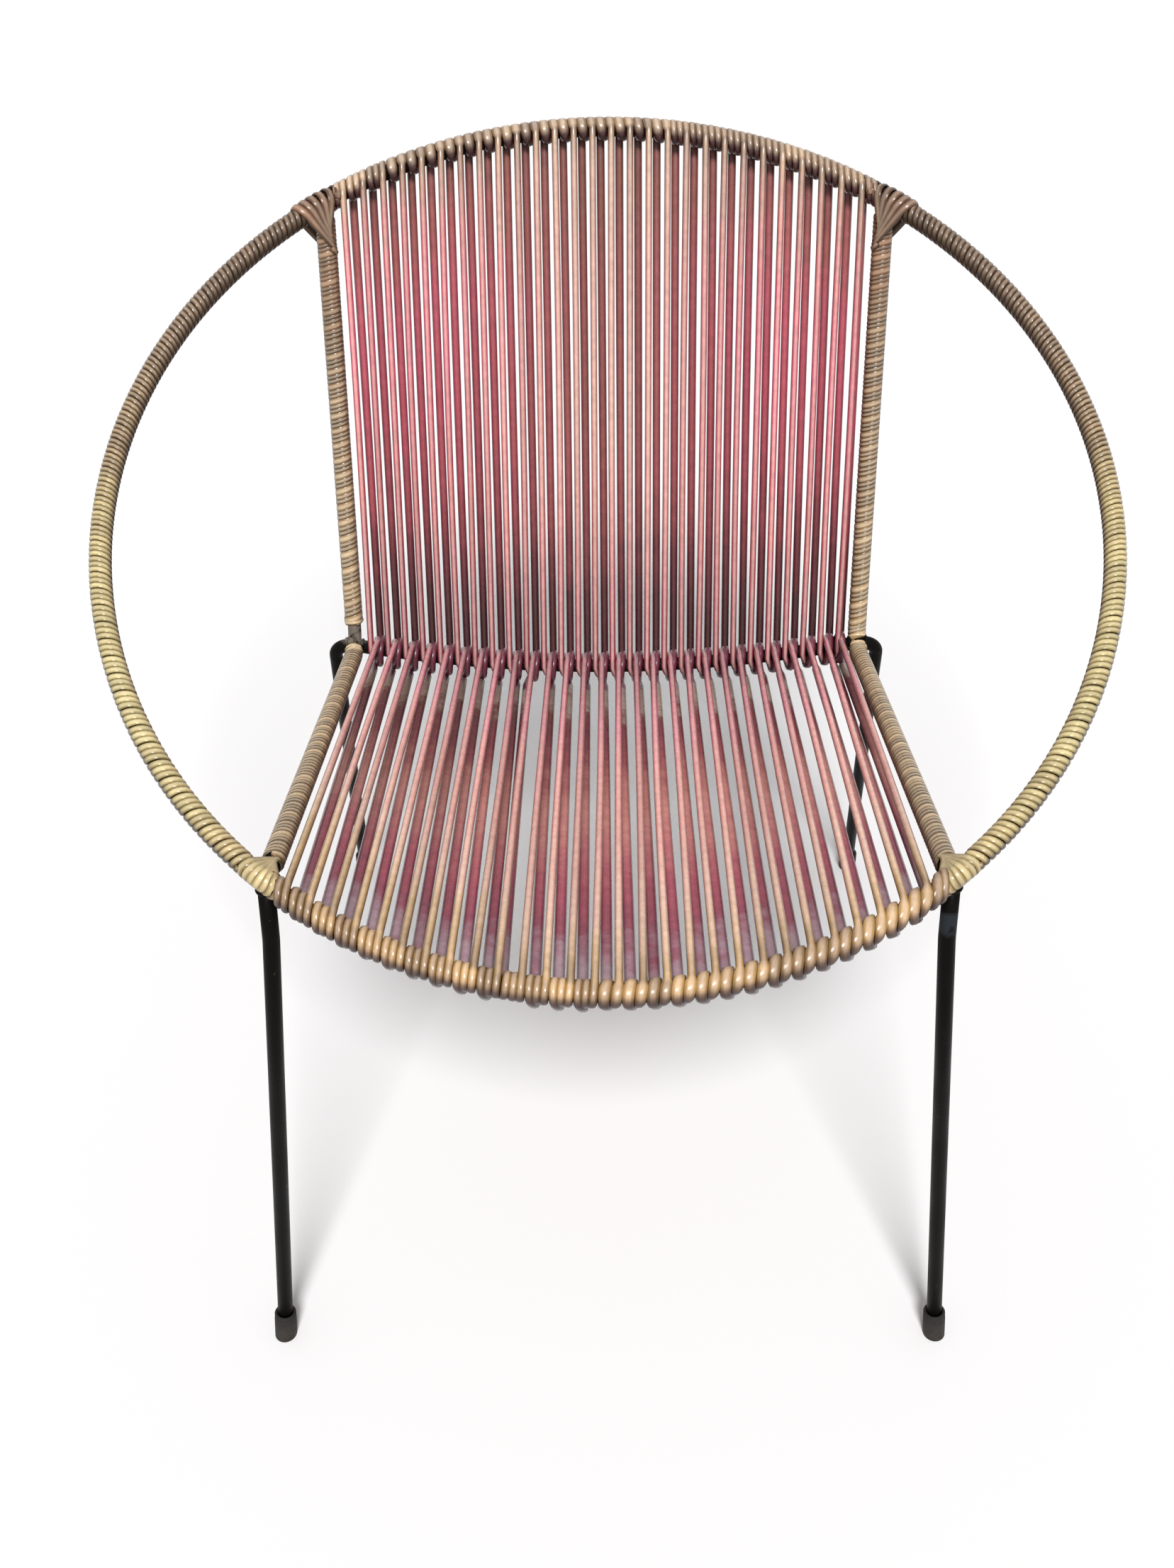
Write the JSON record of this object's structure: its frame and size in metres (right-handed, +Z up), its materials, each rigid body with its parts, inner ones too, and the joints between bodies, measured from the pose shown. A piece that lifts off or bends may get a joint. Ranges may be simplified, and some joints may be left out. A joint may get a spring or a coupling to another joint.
{
  "type": "hoop chair",
  "caption": "Low patio chair: a tilted steel hoop carries a back and a seat of parallel wound cords that meet at a crossbar, on splayed rod legs.",
  "frame": {"origin": "on the floor, under the middle of the chair's outline", "axes": "+Z up, the sitter faces -Y, +X is to the right seen from the front"},
  "size_m": [0.7598, 0.6822, 0.7767],
  "materials": {
    "painted_steel": "satin",
    "foot_rubber": "matt",
    "arm_cord": "aged gloss",
    "rail_cord": "aged gloss",
    "back_cord": "aged gloss",
    "seat_cord": "aged gloss"
  },
  "bodies": {
    "root": {"hoop_rod": "painted_steel", "crossbar": "painted_steel", "left_side_rail": "painted_steel", "front_left_leg": "painted_steel", "rear_left_leg": "painted_steel", "right_side_rail": "painted_steel", "front_right_leg": "painted_steel", "rear_right_leg": "painted_steel", "front_left_foot_cap": "foot_rubber", "rear_left_foot_cap": "foot_rubber", "front_right_foot_cap": "foot_rubber", "rear_right_foot_cap": "foot_rubber", "left_arm_wrap": "arm_cord", "right_arm_wrap": "arm_cord", "left_back_rail_wrap": "rail_cord", "left_seat_rail_wrap": "rail_cord", "upper_left_joint_binding": "rail_cord", "lower_left_joint_binding": "rail_cord", "right_back_rail_wrap": "rail_cord", "right_seat_rail_wrap": "rail_cord", "upper_right_joint_binding": "rail_cord", "lower_right_joint_binding": "rail_cord", "back_lacing_1": "back_cord", "back_lacing_2": "back_cord", "back_lacing_3": "back_cord", "back_lacing_4": "back_cord", "seat_lacing_1": "seat_cord", "seat_lacing_2": "seat_cord", "seat_lacing_3": "seat_cord", "seat_lacing_4": "seat_cord"}
  },
  "joints": []
}
